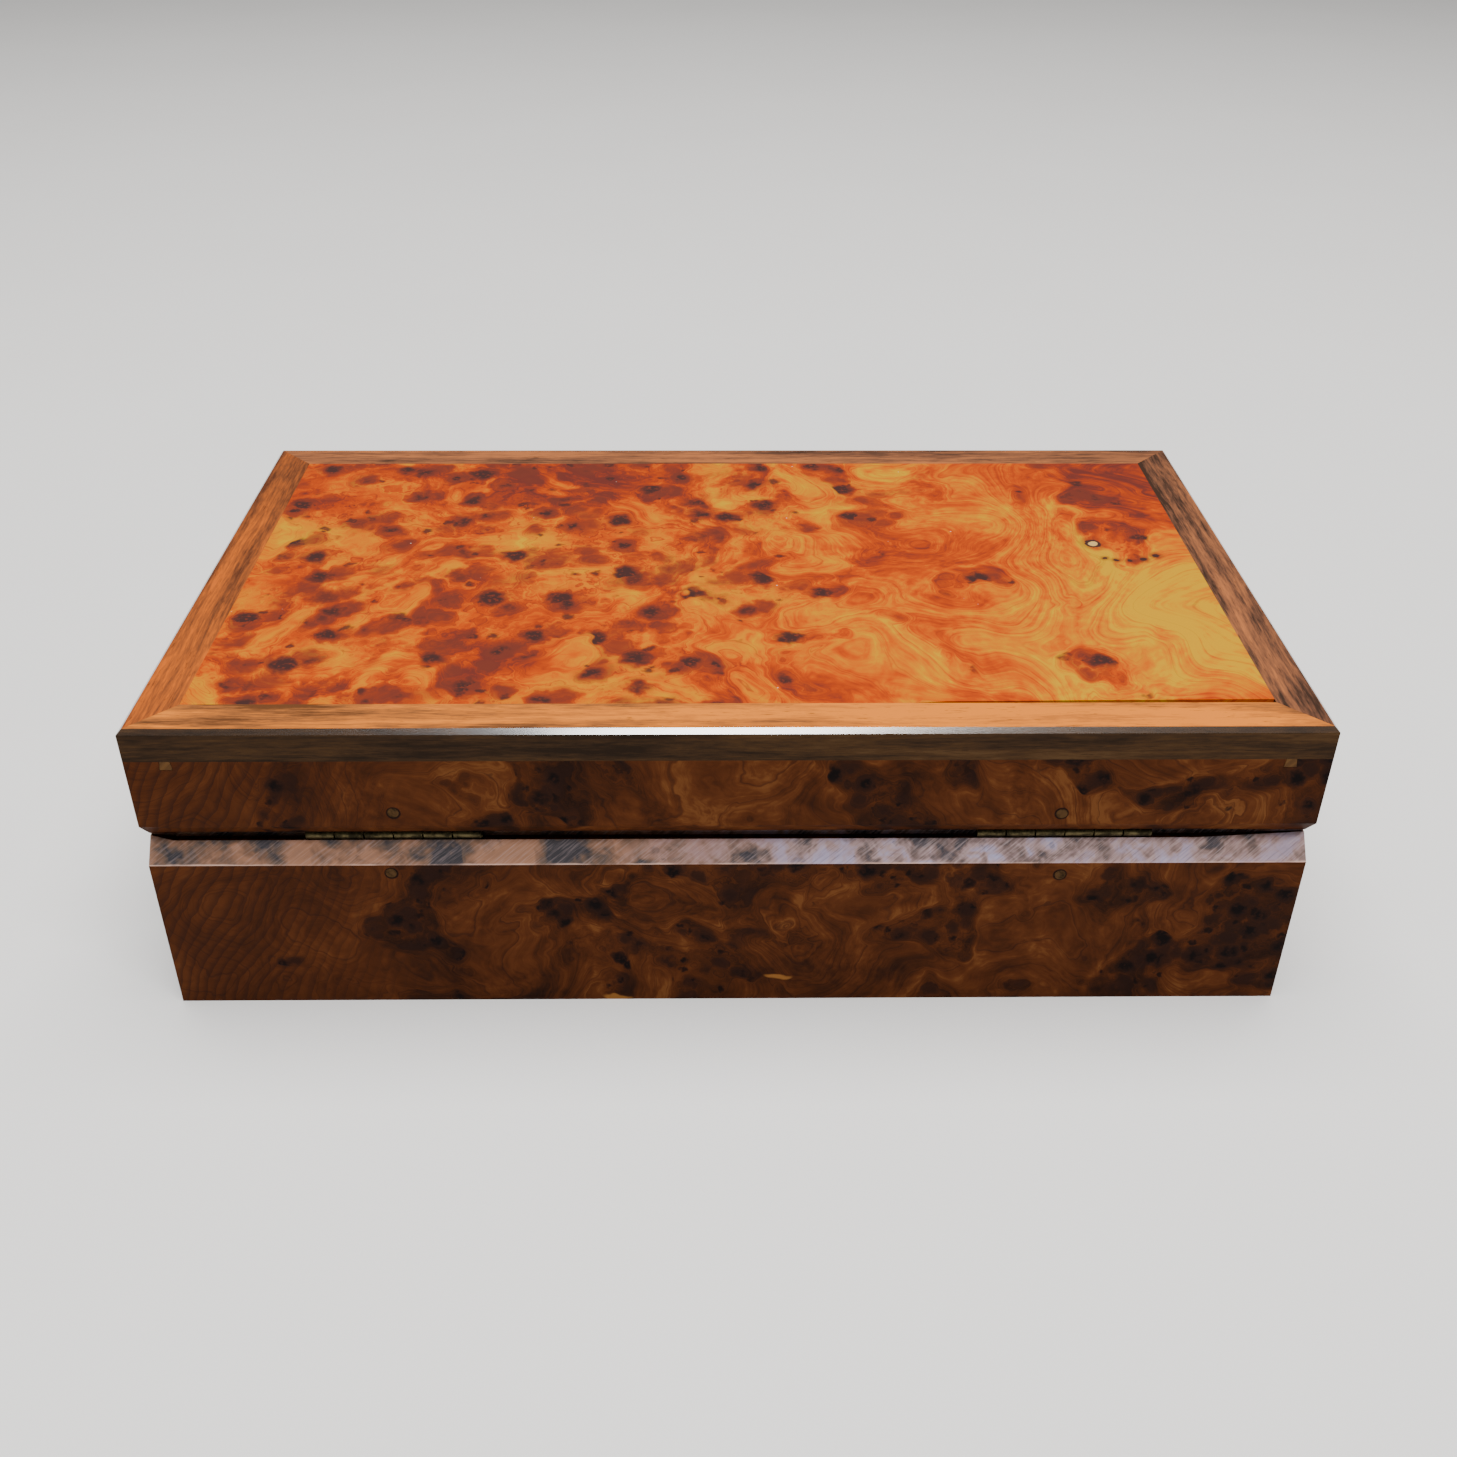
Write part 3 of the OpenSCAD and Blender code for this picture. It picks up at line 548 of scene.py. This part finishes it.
finishes = {
    "top_burl_panel": panel_material(),
    "top_rear_strip": strip_material("walnut_rear", "rear", WALNUT_TAN, 1, 0.10, drift=0.20),
    "top_front_strip": strip_material("walnut_front", "front", WALNUT_GREY, 21, 0.08),
    "top_left_strip": strip_material("walnut_left", "left", WALNUT_GREY, 41, 0.14, fade=0.34),
    "top_right_strip": strip_material("walnut_right", "right", WALNUT_WARM, 61, 0.16, fade=0.34),
    "base_bottom": board,
}
for end in ("rear", "front", "left", "right"):
    finishes[f"base_{end}_wall"] = base_wall
    finishes[f"lid_{end}_wall"] = lid_wall
for name in ("keyhole_cover", "fixed_front_strip"):
    finishes[name] = base_wall
for name in ("left_runner", "right_runner", "slide_stop_peg", "cover_stop_peg"):
    finishes[name] = pale
for name in ("base_hinge_nails", "lid_hinge_nails", "lock_nails", "lock_hook_nails"):
    finishes[name] = nail_brass
for name in ("keyhole_escutcheon", "lock_case", "lock_cap", "lock_hook"):
    finishes[name] = lock_brass
for name in ("lock_key_post", "lock_guide_pins", "lock_spring", "lock_bolt", "key"):
    finishes[name] = steel
for end in ("left", "right"):
    for part in ("base_leaf", "lid_leaf", "pin"):
        finishes[f"{end}_hinge_{part}"] = hinge_brass

# Edge softening in millimetres, by finish
EDGE = {"burl_panel": 0.10, "walnut": 0.22, "burl_wall": 0.22, "pale_wood": 0.08, "plain_wood": 0.3,
        "hinge_brass": 0.10, "nail_brass": 0.08, "lock_brass": 0.08, "steel": 0.10}

for name, material in finishes.items():
    piece = frame["nodes"][name]
    piece.data.materials.clear()
    piece.data.materials.append(material)
    edge = next(width for prefix, width in EDGE.items() if material.name.startswith(prefix))
    bevel = piece.modifiers.new("soft edges", "BEVEL")
    bevel.width, bevel.segments = edge * MM, 2
    bevel.limit_method, bevel.angle_limit = "ANGLE", math.radians(35)

# ------------------------------------------------------------------ floor, light and camera

FLOOR_HALF = 6.0
FLOOR_DARK, FLOOR_LIGHT = (0.84, 0.84, 0.84), (0.88, 0.88, 0.88)
corners = [(x * FLOOR_HALF, y * FLOOR_HALF, 0) for x, y in ((-1, -1), (1, -1), (1, 1), (-1, 1))]
floor_mesh = bpy.data.meshes.new("floor")
floor_mesh.from_pydata(corners, [], [(0, 1, 2, 3)])
floor = bpy.data.objects.new("floor", floor_mesh)
bpy.context.scene.collection.objects.link(floor)
ground = Graph("floor")
shade = ground.mix(ground.noise(ground.p, 90, 3.0)[0], FLOOR_DARK, FLOOR_LIGHT)
ground.set(base_color=shade, roughness=0.8, specular_ior_level=0.1)
floor_mesh.materials.append(ground.mat)

LIT_POINT = Vector((0, 0, 0.04))


def area_light(name, azimuth, elevation, distance, width, height, power, colour):
    """Soft light aimed at the box. azimuth is measured from +Y towards +X."""
    light = bpy.data.lights.new(name, "AREA")
    light.shape, light.size, light.size_y = "RECTANGLE", width, height
    light.energy, light.color = power, colour
    obj = bpy.data.objects.new(name, light)
    a, e = math.radians(azimuth), math.radians(elevation)
    direction = Vector((math.sin(a) * math.cos(e), math.cos(a) * math.cos(e), math.sin(e)))
    obj.location = LIT_POINT + direction * distance
    obj.rotation_euler = direction.to_track_quat("Z", "Y").to_euler()
    bpy.context.scene.collection.objects.link(obj)


# Two long strips light the rear face and gleam on its upper edge, and a broad light hangs overhead
area_light("key, bright end", azimuth=-22, elevation=57, distance=1.3, width=0.90, height=0.09,
           power=12, colour=(1.0, 0.97, 0.94))
area_light("key, cool end", azimuth=24, elevation=57, distance=1.3, width=0.90, height=0.09,
           power=4.5, colour=(0.90, 0.95, 1.0))
area_light("overhead", azimuth=180, elevation=84, distance=1.4, width=1.3, height=0.8,
           power=27, colour=(1.0, 0.97, 0.93))

world = bpy.data.worlds.new("world")
bpy.context.scene.world = world
world.use_nodes = True
world.node_tree.nodes["Background"].inputs["Color"].default_value = (1, 1, 1, 1)
world.node_tree.nodes["Background"].inputs["Strength"].default_value = 0.10

SENSOR = 36.0
FOCAL = 1.0529  # focal length over frame width
PITCH, YAW, ROLL = math.radians(33.18), math.radians(0.80), math.radians(0.30)
CAMERA_AT = (0.0033, 0.2670, 0.1960)
camera = bpy.data.cameras.new("camera")
camera.sensor_width = SENSOR
camera.lens = SENSOR * FOCAL
camera.clip_start, camera.clip_end = 0.01, 30
view = bpy.data.objects.new("camera", camera)
forward = Vector((-math.sin(YAW) * math.cos(PITCH), -math.cos(YAW) * math.cos(PITCH), -math.sin(PITCH)))
side = Vector((-math.cos(YAW), math.sin(YAW), 0))
up = side.cross(forward)
right_axis = side * math.cos(ROLL) + up * math.sin(ROLL)
up_axis = up * math.cos(ROLL) - side * math.sin(ROLL)
turn = Matrix((right_axis, up_axis, -forward)).transposed().to_4x4()
view.matrix_world = Matrix.Translation(CAMERA_AT) @ turn
bpy.context.scene.collection.objects.link(view)
bpy.context.scene.camera = view
